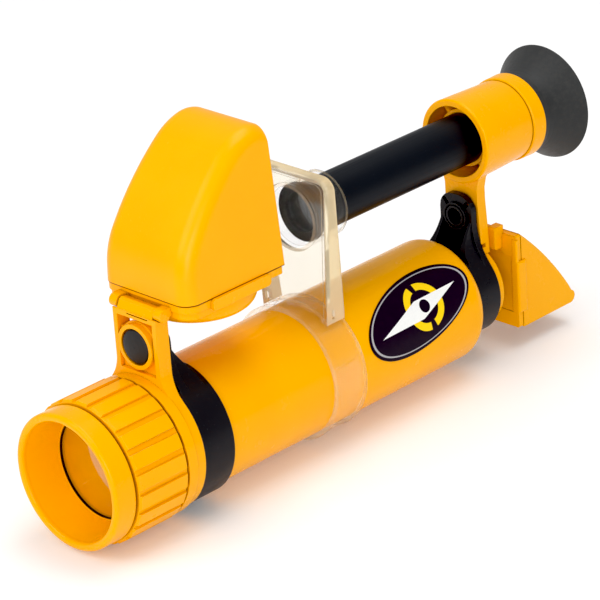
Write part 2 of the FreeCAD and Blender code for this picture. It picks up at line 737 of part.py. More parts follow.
def eyepiece_lens():
    return lens_x(220.0, 2.0, 12.15, 0.0, 1.6, SIGHT_Z)


def eyepiece_retainer():
    return tube_x(222.3, 224.0, 12.2, 11.2, SIGHT_Z)


def eyecup():
    outside = [(EYE_RING_X1 + 0.2, 14.7), (229.0, 14.6)]
    inside = []
    flare_x = EYECUP_X1 - 229.0
    flare_r = EYECUP_R - 14.6
    for i in range(1, 9):
        t = i / 8
        r = 14.6 + flare_r * t ** 1.35
        x = 229.0 + flare_x * t
        outside.append((x, r))
        inside.append((x, r - 1.9 + 1.0 * t))
    inside.reverse()
    inside += [(230.6, 13.05), (EYE_RING_X1 + 0.2, 13.05)]
    return lathe_x(outside + inside, SIGHT_Z)


# ---------------------------------------------------------------- rear mirror box

def box_slab(inset, half):
    """Side shape of the rear box: flat front, long bulging mirror face, rounded toe."""
    lip = (BOX_X0, BOX_TOP)
    steps = [
        ((BOX_X0 + 14.1, BOX_TOP - 13.9), (BOX_X0 + 26.1, BOX_TOP - 29.6)),
        ((BOX_X0 + 27.6, BOX_TOP - 32.2),),
        ((BOX_X0 + 28.3, BOX_TOP - 35.2), (BOX_X0 + 25.6, BOX_BOTTOM)),
        ((BOX_X0, BOX_BOTTOM),),
        (lip,),
    ]
    return curved_plate_y(lip, steps, -half, half, inset)


def rear_hood():
    half = BOX_HALF
    outer = box_slab(0.0, half)

    def outer_edge(edge):
        box = edge.BoundBox
        side = min(abs(box.YMin), abs(box.YMax)) > half - 0.1 and box.YLength < 0.1
        return side and box.XLength > 15 and box.ZLength > 15

    outer = soften(outer, 1.0, outer_edge)
    inner = box_slab(HOOD_WALL, half - HOOD_WALL)
    lower = inner.copy()
    lower.translate(vec(0, 0, -3.0))
    forward = inner.copy()
    forward.translate(vec(-3.0, 0, 0))
    return outer.cut(inner).cut(lower).cut(forward)


def rear_mirror():
    """Flat mirror across the inside of the rear box's sloping face."""
    head = (BOX_X0 + 2.9, BOX_TOP - 7.1)
    toe = (BOX_X0 + 23.2, BOX_BOTTOM + 6.0)
    run = toe[0] - head[0]
    drop = head[1] - toe[1]
    plate = block(0, math.hypot(run, drop), -14.0, 14.0, -1.8, 0)
    plate.rotate(vec(0, 0, 0), Y_AXIS, math.degrees(math.atan2(drop, run)))
    plate.translate(vec(head[0], 0, head[1]))
    return plate


def rear_tray():
    """Plate that closes the rear box's front, with the light's opening in the middle."""
    px, pz = REAR_PIN
    x0 = REAR_TRAY_X0
    x1 = BOX_X0 - 0.2
    half = BOX_HALF - 0.2
    plate = block(x0, x1, -half, half, BOX_BOTTOM + 0.2, BOX_TOP - 0.2)
    plate = soften(plate, 0.8, lambda e: runs_along(e, X_AXIS))
    pieces = [plate]
    for side in (-1, 1):
        y0, y1 = sorted((side * 6.4, side * 9.8))
        bar = block(px - 2.1, x0 + 0.5, y0, y1, 13.4, pz + 2.2)
        pieces.append(soften(bar, 1.1, lambda e: runs_along(e, Y_AXIS) and e.BoundBox.XMax < px))
        pad = [(7.4, 13.0), (10.9, 10.7), (16.2, 10.7), (16.2, BOX_TOP - 0.6), (7.4, BOX_TOP - 0.6)]
        pieces.append(plate_x([(side * y, z) for y, z in pad], x0 - 0.4, x0 + 0.5))
        c0, c1 = sorted((side * 14.5, side * 16.9))
        bead = block(x0 - 0.9, x0 + 0.5, c0, c1, 9.0, 17.7)
        pieces.append(soften(bead, 0.6, lambda e: runs_along(e, Z_AXIS) and e.BoundBox.XMax < x0))
        c0, c1 = sorted((side * (BOX_HALF - 2.6), side * (BOX_HALF + 1.0)))
        clip = block(x0 - 0.9, BOX_X0 + 1.6, c0, c1, -10.9, 9.2)
        pieces.append(soften(clip, 0.9, lambda e: runs_along(e, X_AXIS) or runs_along(e, Z_AXIS)))
    body = fuse(pieces)
    body = body.cut(box_slab(0.0, BOX_HALF + 0.02))
    body = body.cut(block(x0 - 0.1, x0 + 0.25, -half - 1, half + 1, -11.3, -11.0))
    body = body.cut(rod_x(x0 - 2, x1 + 2, 8.0))
    return body.cut(rod_y(-9.4, 9.4, PIN_R + RUN_GAP, px, pz))


def rear_hinge_pin():
    px, pz = REAR_PIN
    return rod_y(-9.2, 9.2, PIN_R, px, pz)


def rear_snap_button():
    return snap_button(COLUMN_X1, REAR_BUTTON_Z, 4.9, 6.4, 1)


def badge():
    """Thin oval label on the barrel's near side, leaning up towards the eye end."""
    shell = tube_x(100, 200, TUBE_R + 0.3, TUBE_R + 0.02)
    oval = Part.Ellipse(vec(0, 0, 0), BADGE_HALF_LENGTH, BADGE_HALF_WIDTH).toShape()
    cutter = Part.Face(Part.Wire(oval)).extrude(vec(0, 0, 30))
    cutter.rotate(vec(0, 0, 0), Z_AXIS, BADGE_LEAN)
    cutter.rotate(vec(0, 0, 0), X_AXIS, BADGE_ANGLE)
    cutter.translate(vec(BADGE_X, 0, 0))
    return shell.common(cutter)


def main():
    os.makedirs("parts", exist_ok=True)
    nodes = {
        "main_tube": main_tube(),
        "glare_stop_front": glare_stop(70.0),
        "glare_stop_rear": glare_stop(130.0),
        "field_lens": lens_x(189.0, 2.0, 13.35, 1.2, 1.0),
        "field_lens_ring": tube_x(191.2, 193.0, NECK_BORE_R, 12.2),
        "objective_bell": bell(),
        "objective_lens": lens_x(LENS_X, 2.2, LENS_R, 0.7, 1.6),
        "objective_lock_ring": tube_x(LENS_X + 2.5, LENS_X + 4.2, 19.3, 17.6),
        "objective_trim_ring": tube_x(LENS_X - 1.0, LENS_X - 0.1, 18.5, 18.0),
        "bell_o_ring": torus_x(28.2, 20.02, 0.42),
        "focus_ring": focus_ring(),
        "front_bracket": front_bracket(),
        "front_clamp": front_clamp(),
        "front_snap_button": snap_button(BRACKET_X0 + 0.6, BUTTON_Z, BUTTON_R, 10.0, -1),
        "front_hinge_pin": front_hinge_pin(),
        "front_tray": front_tray(),
        "front_hood": front_hood(),
        "hood_mirror": hood_mirror(),
        "compass_bowl": compass_bowl(),
        "capsule_shell": capsule_shell(),
        "capsule_diaphragm": capsule_diaphragm(),
        "capsule_cover": capsule_cover(),
        "capsule_gasket": capsule_gasket(),
        "lubber_ring": lubber_ring(),
        "pivot_post": pivot_post(),
        "compass_card": compass_card(),
        "jewel_cup": jewel_cup(),
        "card_magnets": card_magnets(),
        "clear_bracket": clear_bracket(),
        "sight_tube": sight_tube(),
        "sight_end_cap": sight_end_cap(),
        "sight_reticle": sight_reticle(),
        "sight_stop": sight_stop(),
        "rear_column": rear_column(),
        "rear_clamp": rear_clamp(),
        "rear_snap_button": rear_snap_button(),
        "rear_hinge_pin": rear_hinge_pin(),
        "dioptre_ring": dioptre_ring(),
        "eyepiece_lens": eyepiece_lens(),
        "eyepiece_retainer": eyepiece_retainer(),
        "eyecup": eyecup(),
        "rear_tray": rear_tray(),
        "rear_hood": rear_hood(),
        "rear_mirror": rear_mirror(),
        "badge_plate": badge(),
    }
    for name, shape in nodes.items():
        save(name, shape)


main()
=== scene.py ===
import json
import math

import bmesh
import bpy
from mathutils import Matrix, Vector


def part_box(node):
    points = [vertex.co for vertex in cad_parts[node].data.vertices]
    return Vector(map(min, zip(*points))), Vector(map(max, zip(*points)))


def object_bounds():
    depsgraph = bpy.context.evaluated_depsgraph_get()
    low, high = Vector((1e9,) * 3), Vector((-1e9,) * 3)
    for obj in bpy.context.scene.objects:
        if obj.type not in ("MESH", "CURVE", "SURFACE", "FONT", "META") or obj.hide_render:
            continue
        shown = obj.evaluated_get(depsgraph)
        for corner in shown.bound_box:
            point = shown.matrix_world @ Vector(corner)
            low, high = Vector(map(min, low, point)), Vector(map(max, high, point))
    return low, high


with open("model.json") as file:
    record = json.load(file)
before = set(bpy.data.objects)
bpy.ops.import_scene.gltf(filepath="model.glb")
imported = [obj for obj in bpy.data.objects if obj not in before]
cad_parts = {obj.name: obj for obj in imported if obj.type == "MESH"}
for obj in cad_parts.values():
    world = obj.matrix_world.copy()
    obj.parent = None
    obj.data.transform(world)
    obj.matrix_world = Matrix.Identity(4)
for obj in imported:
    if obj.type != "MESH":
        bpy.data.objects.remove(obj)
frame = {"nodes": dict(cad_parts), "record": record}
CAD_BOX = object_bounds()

NODES = frame["nodes"]
MM = 0.001

# ---------------------------------------------------------------- shader tools


class Shade:
    """One material's node tree, with short calls for the nodes that it uses."""

    def __init__(self, name):
        self.material = bpy.data.materials.new(name)
        self.material.use_nodes = True
        self.tree = self.material.node_tree
        self.tree.nodes.clear()
        out = self.tree.nodes.new("ShaderNodeOutputMaterial")
        self.surface = self.tree.nodes.new("ShaderNodeBsdfPrincipled")
        self.tree.links.new(self.surface.outputs[0], out.inputs[0])
        self.coord = self.tree.nodes.new("ShaderNodeTexCoord").outputs["Object"]

    def put(self, socket, value):
        if isinstance(value, bpy.types.NodeSocket):
            self.tree.links.new(value, socket)
        else:
            socket.default_value = value

    def set(self, **sockets):
        for name, value in sockets.items():
            self.put(self.surface.inputs[name.replace("_", " ")], value)

    def math(self, operation, a, b=0.0):
        node = self.tree.nodes.new("ShaderNodeMath")
        node.operation = operation
        for socket, value in zip(node.inputs, (a, b)):
            self.put(socket, value)
        return node.outputs[0]

    def split(self, vector=None):
        node = self.tree.nodes.new("ShaderNodeSeparateXYZ")
        self.put(node.inputs[0], vector or self.coord)
        return node.outputs["X"], node.outputs["Y"], node.outputs["Z"]

    def face_normal(self):
        return self.tree.nodes.new("ShaderNodeNewGeometry").outputs["Normal"]

    def reach(self, a, b):
        """Distance of a point from an axis, from its two coordinates across it."""
        squares = (self.math("MULTIPLY", side, side) for side in (a, b))
        return self.math("SQRT", self.math("ADD", *squares))

    def stretched(self, scale):
        node = self.tree.nodes.new("ShaderNodeMapping")
        self.put(node.inputs["Vector"], self.coord)
        node.inputs["Scale"].default_value = scale
        return node.outputs[0]

    def noise(self, scale, detail=2.0, rough=0.5, vector=None):
        node = self.tree.nodes.new("ShaderNodeTexNoise")
        self.put(node.inputs["Vector"], vector or self.coord)
        node.inputs["Scale"].default_value = scale
        node.inputs["Detail"].default_value = detail
        node.inputs["Roughness"].default_value = rough
        return node.outputs["Fac"]

    def streaks(self, scale, detail=2.0, rough=0.5):
        """Noise with its own scale, per metre, along each of the three axes."""
        return self.noise(1.0, detail, rough, self.stretched(scale))

    def remap(self, value, low, high, to_low=0.0, to_high=1.0):
        node = self.tree.nodes.new("ShaderNodeMapRange")
        for name, given in zip(("Value", "From Min", "From Max", "To Min", "To Max"),
                               (value, low, high, to_low, to_high)):
            self.put(node.inputs[name], given)
        return node.outputs[0]

    def middle(self, noise, to_low=0.0, to_high=1.0):
        """Spreads the middle of a noise, where most of it lies, over a range."""
        return self.remap(noise, 0.3, 0.7, to_low, to_high)

    def mix(self, factor, a, b):
        node = self.tree.nodes.new("ShaderNodeMix")
        node.data_type = "RGBA"
        self.put(node.inputs[0], factor)
        for socket, value in ((node.inputs[6], a), (node.inputs[7], b)):
            self.put(socket, value if isinstance(value, bpy.types.NodeSocket) else (*value, 1.0))
        return node.outputs[2]

    def bump(self, height, strength, distance, normal=None):
        node = self.tree.nodes.new("ShaderNodeBump")
        node.inputs["Strength"].default_value = strength
        node.inputs["Distance"].default_value = distance
        self.put(node.inputs["Height"], height)
        if normal is not None:
            self.put(node.inputs["Normal"], normal)
        return node.outputs[0]

    def rounded(self, radius):
        """Shading normal of an edge rounded by radius, and a mask that is 1 on the edge."""
        bevel = self.tree.nodes.new("ShaderNodeBevel")
        bevel.samples = 4
        bevel.inputs["Radius"].default_value = radius
        dot = self.tree.nodes.new("ShaderNodeVectorMath")
        dot.operation = "DOT_PRODUCT"
        self.put(dot.inputs[0], bevel.outputs[0])
        self.put(dot.inputs[1], self.face_normal())
        return bevel.outputs[0], self.remap(dot.outputs["Value"], 0.995, 0.86)

    def crevice(self, reach):
        """1 in a groove or seam narrower than reach, 0 in the open, from ambient occlusion: a mask
        for painted shade.
        """
        node = self.tree.nodes.new("ShaderNodeAmbientOcclusion")
        node.samples = 4
        node.inputs["Distance"].default_value = reach
        return self.remap(node.outputs["AO"], 0.55, 0.08)


# ------------------------------------------------------------- moulded plastics

# Per plastic: its two tones, a lighter tone for specks and for the painted highlight on edges, and
# a dark tone for painted shade in crevices and gaps.
YELLOW = ((0.94, 0.405, 0.001), (0.97, 0.435, 0.002))
YELLOW_SPECK_AND_HIGHLIGHT = (1.0, 0.60, 0.05)
YELLOW_SHADE = (0.20, 0.035, 0.002)
YELLOW_GRAIN = (650.0, 0.04 * MM, 0.10)

BLACK = ((0.006, 0.005, 0.008), (0.012, 0.011, 0.014))
BLACK_SPECK_AND_HIGHLIGHT = (0.08, 0.08, 0.085)
BLACK_SHADE = (0.002, 0.002, 0.003)
BUTTON_BLACK = ((0.020, 0.020, 0.021), (0.032, 0.031, 0.031))
CAP_BLACK = ((0.005, 0.0055, 0.006), (0.009, 0.0095, 0.010))

MOULD_EDGE_RADIUS = 0.35 * MM
SHADE_REACH = 1.6 * MM
SCRATCH_ALONG = 30.0
SCRATCH_ACROSS = 2400.0


def moulded(name, tones, speck_and_highlight_tone, painted_shade_tone, rough, grain, edge=0.5, handling=None,
            coat=0.0, gloss=0.14, seam_z=None, seams=True):
    """Injection-moulded plastic: drifting tone, mould grain, edges with painted highlight and
    wear, and painted shade in seams and gaps.

    tones are two close colours, rough is the roughness range, and grain is (per metre, height
    in metres, strength). edge is how far the lighter edges (painted highlight, with some wear)
    show, handling the axis along which fine scratches run, and seam_z the height below which the
    painted shade of the parting gap shows.
    """
    shade = Shade(name)
    colour = shade.mix(shade.middle(shade.noise(38.0, detail=4.0, rough=0.55)), *tones)
    speck = shade.remap(shade.noise(900.0, detail=3.0, rough=0.6), 0.66, 0.78, 0.0, 0.35)
    colour = shade.mix(speck, colour, speck_and_highlight_tone)
    normal, rounded_edge = shade.rounded(MOULD_EDGE_RADIUS)
    patches = shade.remap(shade.noise(260.0), 0.35, 0.65, 0.2, edge)
    # Painted highlight, with some wear: the rounded edges are mixed in patches towards the lighter
    # tone.
    colour = shade.mix(shade.math("MULTIPLY", rounded_edge, patches), colour, speck_and_highlight_tone)
    # Painted shade: narrow seams and crevices are darkened by ambient occlusion.
    if seams:
        colour = shade.mix(shade.crevice(SHADE_REACH), colour, painted_shade_tone)
    # Painted shade: a thin band below the given height is darkened, for the shadow in the parting
    # gap.
    if seam_z is not None:
        height = shade.split()[2]
        colour = shade.mix(shade.math("LESS_THAN", height, seam_z), colour, painted_shade_tone)
    cloud = shade.noise(140.0, detail=5.0, rough=0.65)
    shade.set(Base_Color=colour, Roughness=shade.middle(cloud, *rough))
    shade.set(IOR=1.5, Specular_IOR_Level=gloss)
    per_metre, depth, strength = grain
    normal = shade.bump(shade.noise(per_metre), strength, depth, normal)
    if handling is not None:
        scale = tuple(SCRATCH_ALONG if axis == handling else SCRATCH_ACROSS for axis in "XYZ")
        scratches = shade.remap(shade.streaks(scale, detail=1.0), 0.62, 0.7)
        normal = shade.bump(scratches, 0.10, 0.03 * MM, normal)
    shade.set(Normal=normal)
    if coat:
        shade.set(Coat_Weight=coat, Coat_Roughness=0.08)
    return shade.material


def yellow(name, rough, **finish):
    tones = (YELLOW, YELLOW_SPECK_AND_HIGHLIGHT, YELLOW_SHADE)
    return moulded(name, *tones, rough, YELLOW_GRAIN, coat=0.05, **finish)


def black(name, rough, grain_strength, tones=BLACK, gloss=0.2):
    grain = (1900.0, 0.05 * MM, grain_strength)
    return moulded(name, tones, BLACK_SPECK_AND_HIGHLIGHT, BLACK_SHADE, rough, grain, gloss=gloss)


# ------------------------------------------------------- rubber, tube and bracket

RUBBER_RING_PITCH = 0.9 * MM


def rubber():
    """Soft rubber of the eyecup: dull, with turned mould rings and a little dust."""
    shade = Shade("eyecup_rubber")
    dust = shade.remap(shade.noise(480.0, detail=5.0, rough=0.7), 0.45, 0.75, 0.0, 0.55)
    drift = shade.noise(60.0, detail=3.0)
    colour = shade.mix(drift, (0.020, 0.021, 0.022), (0.034, 0.035, 0.035))
    normal, rounded_edge = shade.rounded(0.4 * MM)
    colour = shade.mix(dust, colour, (0.055, 0.054, 0.050))
    colour = shade.mix(shade.math("MULTIPLY", rounded_edge, 0.5), colour, (0.11, 0.11, 0.10))
    along = shade.split()[0]
    turns = shade.math("MULTIPLY", along, 2 * math.pi / RUBBER_RING_PITCH)
    normal = shade.bump(shade.math("SINE", turns), 0.12, 0.02 * MM, normal)
    normal = shade.bump(shade.noise(2600.0, detail=3.0), 0.25, 0.04 * MM, normal)
    shade.set(Base_Color=colour, Roughness=shade.remap(dust, 0.0, 0.5, 0.52, 0.72), Normal=normal)
    shade.set(Sheen_Weight=0.05, Sheen_Roughness=0.5, Specular_IOR_Level=0.3)
    return shade.material


def tube_black():
    """Matt black sight tube with faint drawing lines along it."""
    shade = Shade("sight_tube_matt")
    lines = shade.streaks((25.0, 2200.0, 2200.0))
    drift = shade.noise(45.0, detail=3.0)
    tone = shade.mix(drift, (0.0040, 0.0052, 0.0085), (0.0075, 0.0090, 0.0130))
    dust = shade.remap(shade.noise(1300.0, detail=4.0, rough=0.7), 0.62, 0.8, 0.0, 0.3)
    tone = shade.mix(dust, tone, (0.05, 0.05, 0.055))
    normal, rounded_edge = shade.rounded(0.25 * MM)
    tone = shade.mix(shade.math("MULTIPLY", rounded_edge, 0.4), tone, (0.06, 0.06, 0.065))
    normal = shade.bump(lines, 0.12, 0.02 * MM, normal)
    normal = shade.bump(shade.noise(3200.0), 0.15, 0.03 * MM, normal)
    shade.set(Base_Color=tone, Roughness=shade.middle(lines, 0.36, 0.48), Normal=normal)
    shade.set(Specular_IOR_Level=0.17)
    return shade.material


# The clear bracket is a hazy plate with tan edges. Its band round the barrel and its socket round
# the sight tube are clearer still, so the yellow and the black behind them show through.
# BAND_OUTER is measured from the barrel's axis, the other two radii from the sight tube's.
SIGHT_Z = sum(corner.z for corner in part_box("sight_tube")) / 2
SOCKET_OUTER = 12.3 * MM
CAP_OUTER = 11.0 * MM
BAND_OUTER = 25.1 * MM
PLATE_ALPHA = 1.0
BAND_ALPHA = 0.12
SOCKET_ALPHA = 0.11
CAP_ALPHA = 0.03
STRIP_ALPHA = 0.6
CLEAR_TINT = (0.985, 0.94, 0.83)
CLEAR_TAN = (0.97, 0.80, 0.50)
HAZE = 0.04
RIM_HAZE = 0.42


def frosted():
    """Clear acrylic with a slight haze.

    facing is 1 on faces that look along the barrel; the plate's other faces are tan and hazier.
    end_face marks the band's ends and the socket's rim, which show as light lines.
    """
    shade = Shade("clear_frosted")
    cloud = shade.noise(70.0, detail=5.0, rough=0.6)
    normal, rounded_edge = shade.rounded(0.5 * MM)
    facing = shade.math("ABSOLUTE", shade.split(shade.face_normal())[0])

    _, sideways, height = shade.split()
    from_sight = shade.reach(sideways, shade.math("SUBTRACT", height, SIGHT_Z))
    on_band = shade.math("LESS_THAN", shade.reach(sideways, height), BAND_OUTER)
    in_socket = shade.math("LESS_THAN", from_sight, SOCKET_OUTER)
    over_cap = shade.math("LESS_THAN", from_sight, CAP_OUTER)
    clearer = shade.math("MAXIMUM", on_band, in_socket)
    ring = shade.math("MAXIMUM", on_band, shade.math("SUBTRACT", in_socket, over_cap))
    end_face = shade.math("MULTIPLY", shade.remap(facing, 0.6, 0.9), ring)

    rim = shade.math("MAXIMUM", shade.remap(facing, 0.3, 0.8, 1.0, 0.0), rounded_edge)
    rim = shade.math("MULTIPLY", rim, shade.remap(clearer, 0.0, 1.0, 1.0, 0.25))
    rim = shade.math("MAXIMUM", rim, shade.math("MULTIPLY", end_face, 0.8))
    colour = shade.mix(shade.middle(cloud), CLEAR_TINT, tuple(0.97 * c for c in CLEAR_TINT))
    colour = shade.mix(rim, colour, CLEAR_TAN)
    clear = shade.math("SUBTRACT", 1.0 - HAZE, shade.math("MULTIPLY", rim, RIM_HAZE))
    shade.set(Base_Color=colour, Transmission_Weight=clear, IOR=1.49, Specular_IOR_Level=0.2)

    alpha = shade.remap(clearer, 0.0, 1.0, PLATE_ALPHA, BAND_ALPHA)
    for zone, step in ((in_socket, BAND_ALPHA - SOCKET_ALPHA),
                       (over_cap, SOCKET_ALPHA - CAP_ALPHA)):
        alpha = shade.math("SUBTRACT", alpha, shade.math("MULTIPLY", zone, step))
    strip = shade.math("MULTIPLY", shade.math("MAXIMUM", rounded_edge, end_face), STRIP_ALPHA)
    shade.set(Alpha=shade.math("MAXIMUM", alpha, strip))

    scuffs = shade.remap(shade.streaks((900.0, 260.0, 3000.0), rough=0.6), 0.6, 0.75, 0.0, 0.14)
    shade.set(Roughness=shade.math("ADD", scuffs, shade.middle(cloud, 0.04, 0.10)))
    shade.set(Normal=shade.bump(shade.noise(420.0), 0.06, 0.04 * MM, normal))
    return shade.material


# -------------------------------------------------------- glass, metal and mirrors

TRIM_INNER = min(math.hypot(v.co.y, v.co.z) for v in NODES["objective_trim_ring"].data.vertices)
TRIM_LINE_WIDTH = 0.30 * MM


def trim_ring():
    """Yellow ring in front of the objective, with a black line where it meets the glass."""
    shade = Shade("trim_ring_lined")
    _, sideways, height = shade.split()
    line = shade.math("LESS_THAN", shade.reach(sideways, height), TRIM_INNER + TRIM_LINE_WIDTH)
    colour = shade.mix(shade.noise(38.0, detail=4.0), *YELLOW)
    colour = shade.mix(line, colour, (0.012, 0.008, 0.006))
    shade.set(Base_Color=colour, Roughness=shade.middle(shade.noise(200.0, detail=3.0), 0.3, 0.42))
    shade.set(Specular_IOR_Level=0.15, Normal=shade.bump(shade.noise(700.0), 0.1, 0.04 * MM))
    return shade.material


def glass():
    """Lens glass: clear, with a faint coating tint and finger smears."""
    shade = Shade("lens_glass_coated")
    smear = shade.remap(shade.noise(210.0, detail=4.0, rough=0.6), 0.5, 0.72)
    colour = shade.mix(smear, (0.985, 0.99, 0.98), (0.95, 0.965, 0.97))
    shade.set(Base_Color=colour, Roughness=shade.remap(smear, 0.0, 1.0, 0.0, 0.04))
    shade.set(Transmission_Weight=1.0, IOR=1.5)
    shade.set(Normal=shade.bump(shade.noise(1500.0), 0.02, 0.01 * MM))
    return shade.material


def painted_reflection_lens():
    """Objective lens with a clear coat. Its orange base colour is painted reflection of the lit
    yellow inside of the bell.
    """
    shade = Shade("lens_painted_reflection")
    smear = shade.remap(shade.noise(160.0, detail=4.0, rough=0.6), 0.45, 0.7)
    # Painted reflection: the orange stands for the lit yellow inside of the bell seen in the
    # glass, with finger smears.
    colour = shade.mix(smear, (0.90, 0.38, 0.010), (0.84, 0.36, 0.016))
    shade.set(Base_Color=colour, Roughness=shade.remap(smear, 0.0, 1.0, 0.03, 0.07))
    shade.set(Transmission_Weight=0.35, IOR=1.6, Coat_Weight=0.6, Coat_Roughness=0.02)
    shade.set(Normal=shade.bump(shade.noise(1200.0), 0.02, 0.01 * MM))
    return shade.material


def metal(name, tone, rough, tool_lines):
    """Drawn or turned metal, with the tool's lines and spots of tarnish."""
    shade = Shade(name)
    lines = shade.streaks(tool_lines, rough=0.6)
    spots = shade.remap(shade.noise(700.0, detail=4.0), 0.6, 0.75, 0.0, 0.6)
    colour = shade.mix(spots, tone, tuple(0.6 * c for c in tone))
    shade.set(Base_Color=colour, Metallic=1.0, Roughness=shade.middle(lines, *rough))
    shade.set(Normal=shade.bump(lines, 0.15, 0.02 * MM, shade.rounded(0.15 * MM)[0]))
    return shade.material


def mirror():
    """Silvered glass with a little dust."""
    shade = Shade("mirror_silver")
    dust = shade.remap(shade.noise(800.0, detail=5.0, rough=0.7), 0.6, 0.8, 0.0, 0.3)
    colour = shade.mix(dust, (0.92, 0.93, 0.94), (0.70, 0.69, 0.66))
    shade.set(Base_Color=colour, Metallic=1.0, Roughness=shade.remap(dust, 0.0, 0.3, 0.02, 0.12))
    return shade.material


# ----------------------------------------------------------------------- prints

DIAL_RADIUS = 13.4 * MM
# Each ring of marks: how many, how narrow (nearer 1 is narrower), and its inner radius.
DIAL_MARKS = ((72, 0.55, 12.0 * MM), (12, 0.975, 10.4 * MM))
ARROW_HALF_WIDTH = 2.1 * MM
ARROW_TAPER = 0.22
ARROW_FROM = 1.5 * MM
ARROW_TO = 9.8 * MM


def dial(centre):
    """White compass card with a ring of degree marks and a red north arrow."""
    shade = Shade("dial_print")
    across, sideways, _ = shade.split()
    x = shade.math("SUBTRACT", across, centre.x)
    y = shade.math("SUBTRACT", sideways, centre.y)
    reach = shade.reach(x, y)
    turn = shade.math("ARCTAN2", y, x)

    def ticks(count, narrow, inner):
        wave = shade.math("COSINE", shade.math("MULTIPLY", turn, count))
        on = shade.math("GREATER_THAN", wave, narrow)
        return shade.math("MULTIPLY", on, shade.math("GREATER_THAN", reach, inner))

    marks = shade.math("MAXIMUM", *(ticks(*mark) for mark in DIAL_MARKS))
    marks = shade.math("MULTIPLY", marks, shade.math("LESS_THAN", reach, DIAL_RADIUS))
    taper = shade.math("ADD", shade.math("ABSOLUTE", y), shade.math("MULTIPLY", x, ARROW_TAPER))
    arrow = shade.math("LESS_THAN", taper, ARROW_HALF_WIDTH)
    arrow = shade.math("MULTIPLY", arrow, shade.math("GREATER_THAN", x, ARROW_FROM))
    arrow = shade.math("MULTIPLY", arrow, shade.math("LESS_THAN", reach, ARROW_TO))
    paper = shade.mix(shade.noise(500.0, detail=4.0), (0.86, 0.85, 0.80), (0.80, 0.79, 0.73))
    colour = shade.mix(marks, paper, (0.02, 0.02, 0.02))
    colour = shade.mix(arrow, colour, (0.55, 0.02, 0.01))
    shade.set(Base_Color=colour, Roughness=shade.middle(shade.noise(300.0), 0.45, 0.6))
    shade.set(Normal=shade.bump(shade.noise(2500.0), 0.1, 0.02 * MM))
    return shade.material


# The label lies on the barrel's near side: its middle, its lean, and the radius it lies at.
LABEL_X = 72.3 * MM
LABEL_ANGLE = math.radians(59.2)
LABEL_LEAN = math.radians(10.4)
LABEL_RADIUS = 23.2 * MM
LABEL_HALF = (27.3 * MM, 12.4 * MM)
LABEL_BORDER = (0.86, 0.92)
RING_SHIFT = 3.0 * MM
RING_RADII = (6.1 * MM, 8.9 * MM)
RING_GAPS = 4
RING_GAP_NARROW = 0.80
HUB_RADIUS = 2.4 * MM
NEEDLE_HALF = (21.0 * MM, 3.6 * MM)


def label():
    """Printed oval: near-black ground, thin grey border, a yellow ring and a white needle."""
    shade = Shade("label_print")
    place_x, place_y, place_z = shade.split()
    along = shade.math("SUBTRACT", place_x, LABEL_X)
    turn = shade.math("ARCTAN2", shade.math("MULTIPLY", place_y, -1.0), place_z)
    around = shade.math("MULTIPLY", shade.math("SUBTRACT", LABEL_ANGLE, turn), LABEL_RADIUS)
    cos, sin = math.cos(LABEL_LEAN), math.sin(LABEL_LEAN)
    u = shade.math("ADD", shade.math("MULTIPLY", along, cos), shade.math("MULTIPLY", around, sin))
    v = shade.math("SUBTRACT", shade.math("MULTIPLY", around, cos),
                   shade.math("MULTIPLY", along, sin))

    def part_of(value, whole):
        return shade.math("DIVIDE", shade.math("ABSOLUTE", value), whole)

    def between(value, low, high):
        above = shade.math("GREATER_THAN", value, low)
        return shade.math("MULTIPLY", above, shade.math("LESS_THAN", value, high))

    squares = (shade.math("POWER", part_of(side, half), 2.0)
               for side, half in zip((u, v), LABEL_HALF))
    border = between(shade.math("ADD", *squares), *LABEL_BORDER)
    shifted = shade.math("SUBTRACT", u, RING_SHIFT)
    reach = shade.reach(shifted, v)
    gap_wave = shade.math("MULTIPLY", shade.math("ARCTAN2", v, shifted), RING_GAPS)
    gaps = shade.math("GREATER_THAN", shade.math("COSINE", gap_wave), RING_GAP_NARROW)
    ring = shade.math("MULTIPLY", between(reach, *RING_RADII), shade.math("SUBTRACT", 1.0, gaps))
    hub = shade.math("LESS_THAN", reach, HUB_RADIUS)
    needle_parts = (part_of(side, half) for side, half in zip((u, v), NEEDLE_HALF))
    needle = shade.math("LESS_THAN", shade.math("ADD", *needle_parts), 1.0)

    ink = shade.noise(1500.0, detail=3.0)
    ground = shade.noise(300.0, detail=3.0)
    colour = shade.mix(ground, (0.010, 0.004, 0.012), (0.016, 0.008, 0.018))
    colour = shade.mix(border, colour, (0.42, 0.41, 0.42))
    colour = shade.mix(ring, colour, shade.mix(ink, (0.92, 0.60, 0.01), (0.98, 0.68, 0.02)))
    colour = shade.mix(needle, colour, shade.mix(ink, (0.84, 0.84, 0.82), (0.92, 0.92, 0.90)))
    colour = shade.mix(hub, colour, (0.012, 0.006, 0.014))
    shade.set(Base_Color=colour, Roughness=shade.middle(ink, 0.28, 0.40), Specular_IOR_Level=0.1)
    shade.set(Normal=shade.bump(shade.math("ADD", ring, needle), 0.25, 0.03 * MM))
    return shade.material


# -------------------------------------------------------- looks by slot, then by node

STEEL = (0.55, 0.55, 0.57)
BRASS = (0.72, 0.52, 0.22)
CARD_LOW, CARD_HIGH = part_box("compass_card")
# Top of the painted shade band along the hood's foot, where it sits on the tray.
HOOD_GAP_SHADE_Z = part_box("front_hood")[0].z + 0.28 * MM

